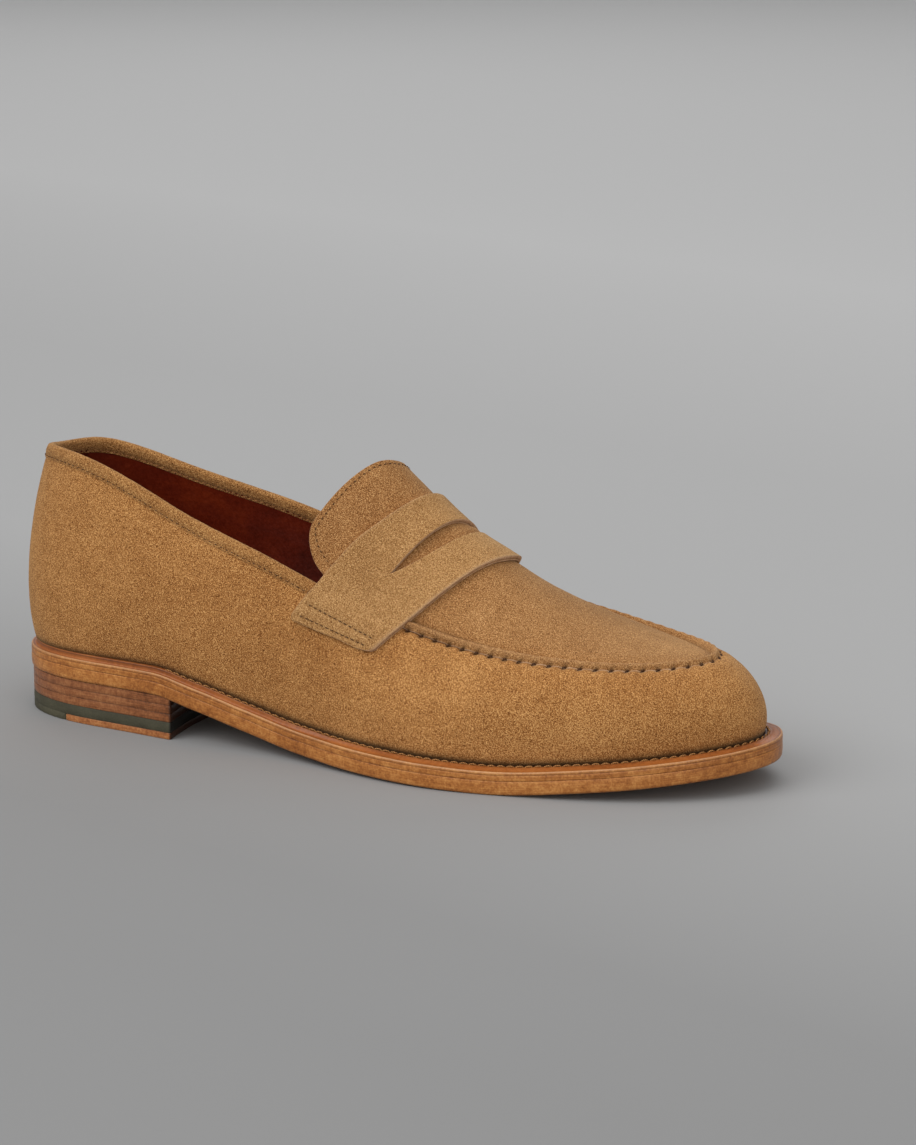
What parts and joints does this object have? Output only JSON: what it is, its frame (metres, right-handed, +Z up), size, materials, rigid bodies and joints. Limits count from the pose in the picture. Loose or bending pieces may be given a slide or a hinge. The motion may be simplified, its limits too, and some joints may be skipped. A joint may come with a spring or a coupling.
{
  "type": "penny loafer",
  "caption": "Slip-on penny loafer for the right foot: suede moc-toe upper with slotted strap, leather lining, welted leather sole and stacked leather heel.",
  "frame": {"origin": "ground under the middle of the shoe's bounding box", "axes": "+X towards the toe, +Y towards the inner (medial) side, +Z up"},
  "size_m": [0.2999, 0.1024, 0.1058],
  "materials": {
    "suede": "tan suede, fine nap",
    "binding_suede": "tan suede binding",
    "strap_core": "raw edge of the strap's doubling",
    "sole_leather": "waxed oak-bark leather, burnished edge",
    "welt_leather": "waxed welt leather",
    "heel_leather": "burnished stacked leather",
    "insole_leather": "natural insole leather",
    "lining_leather": "cognac calf lining",
    "heel_rubber": "matt dark rubber",
    "cork": "pressed cork",
    "canvas": "cotton canvas and tape",
    "stiffener": "leather board",
    "shank_steel": "spring steel",
    "brass_pins": "brass",
    "welt_thread": "waxed linen thread",
    "upper_thread": "tan polyester thread"
  },
  "bodies": {
    "root": {"outsole": "sole_leather", "welt": "welt_leather", "insole_rib": "canvas", "cork_filler": "cork", "shank": "shank_steel", "insole": "insole_leather", "sock_liner": "lining_leather", "heel_lift_1": "heel_leather", "heel_lift_2": "heel_leather", "heel_lift_3": "heel_leather", "heel_rubber": "heel_rubber", "heel_leather_tip": "sole_leather", "heel_nails": "shank_steel", "top_piece_pins": "brass_pins", "side_wall": "suede", "side_lining": "lining_leather", "heel_counter": "stiffener", "toe_puff": "stiffener", "outer_side_stiffener": "stiffener", "inner_side_stiffener": "stiffener", "topline_tape": "canvas", "topline_binding": "binding_suede", "apron": "suede", "apron_lining": "lining_leather", "penny_strap": "suede", "strap_backing": "strap_core", "welt_stitching": "welt_thread", "inseam_stitching": "welt_thread", "apron_stitching": "upper_thread", "topline_stitching": "upper_thread", "lining_stitching": "upper_thread", "strap_stitching": "upper_thread", "tongue_stitching": "upper_thread"}
  },
  "joints": []
}
